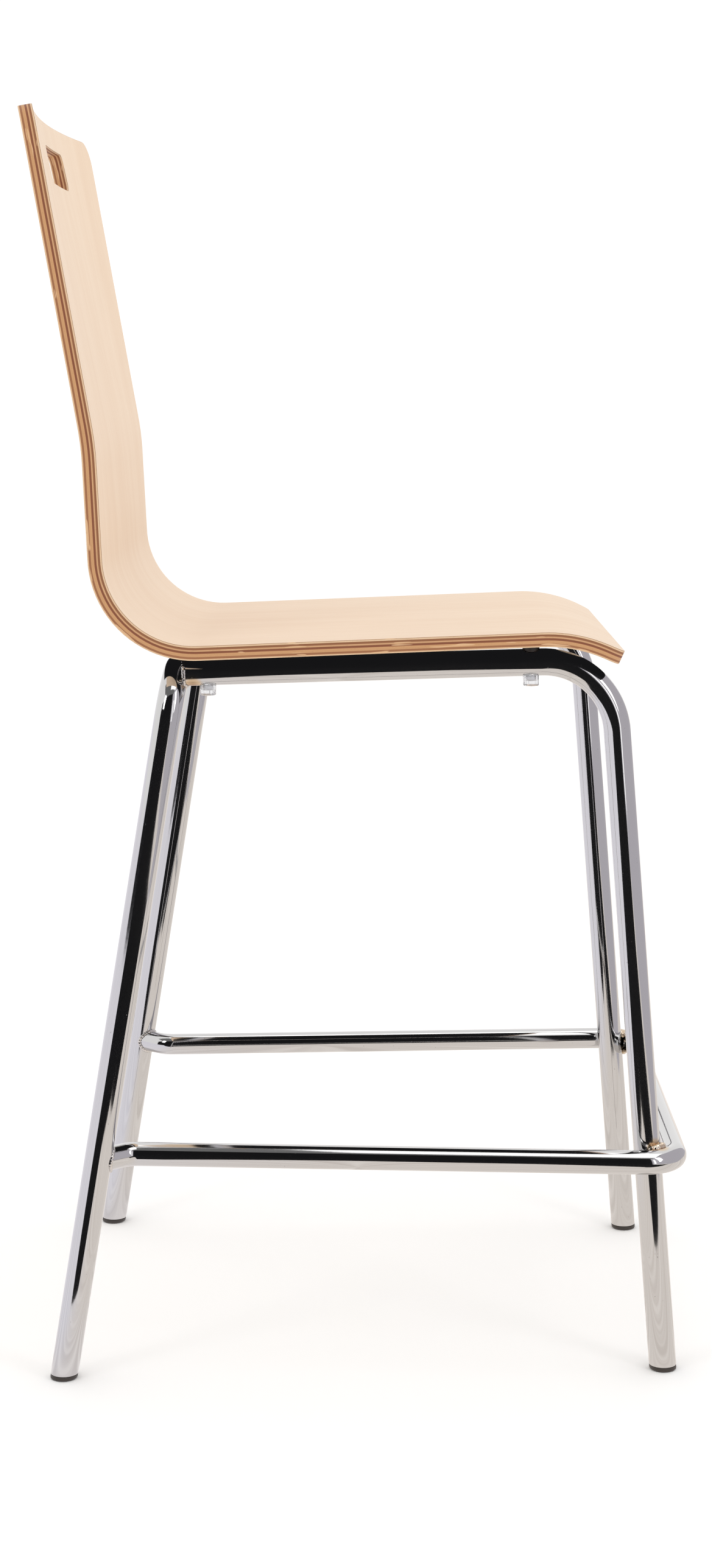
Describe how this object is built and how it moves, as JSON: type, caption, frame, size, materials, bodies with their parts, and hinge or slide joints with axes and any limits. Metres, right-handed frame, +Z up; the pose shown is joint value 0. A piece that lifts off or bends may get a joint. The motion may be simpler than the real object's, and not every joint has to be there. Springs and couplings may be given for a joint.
{
  "type": "stacking chair",
  "caption": "Counter-height stacking chair: bent plywood seat and back shell with a hand slot, on a chromed tube frame with a footrest ring.",
  "frame": {"origin": "middle of the footprint's bounding box, on the floor", "axes": "+Z up; the seat faces -Y; +X to the right of someone who looks at the chair's front, so left nodes are at -X"},
  "size_m": [0.4234, 0.5585, 1.0352],
  "materials": {
    "chrome": "mirror-polished chrome plate on steel tube",
    "maple_plywood": "clear satin lacquer on pale maple veneer, with brown and amber plies at the edge",
    "black_plastic": "moulded brown-black plastic",
    "clear_plastic": "clear moulded plastic",
    "zinc_steel": "zinc plate",
    "weld_metal": "plated weld bead with a bronze heat tint"
  },
  "bodies": {
    "root": {"left_side_tube": "chrome", "right_side_tube": "chrome", "rear_hoop": "chrome", "footrest_ring": "chrome", "seat_shell": "maple_plywood", "front_left_glide": "black_plastic", "front_right_glide": "black_plastic", "rear_left_glide": "black_plastic", "rear_right_glide": "black_plastic", "front_left_spacer": "black_plastic", "front_right_spacer": "black_plastic", "front_left_bumper": "clear_plastic", "front_right_bumper": "clear_plastic", "rear_left_bumper": "clear_plastic", "rear_right_bumper": "clear_plastic", "front_left_bolt": "zinc_steel", "front_right_bolt": "zinc_steel", "rear_left_bolt": "zinc_steel", "rear_right_bolt": "zinc_steel", "front_left_insert_nut": "zinc_steel", "front_right_insert_nut": "zinc_steel", "rear_left_insert_nut": "zinc_steel", "rear_right_insert_nut": "zinc_steel", "left_rail_weld": "weld_metal", "right_rail_weld": "weld_metal", "rear_left_ring_weld": "weld_metal", "rear_right_ring_weld": "weld_metal", "front_left_upper_ring_weld": "weld_metal", "front_left_lower_ring_weld": "weld_metal", "front_right_upper_ring_weld": "weld_metal", "front_right_lower_ring_weld": "weld_metal"}
  },
  "joints": []
}
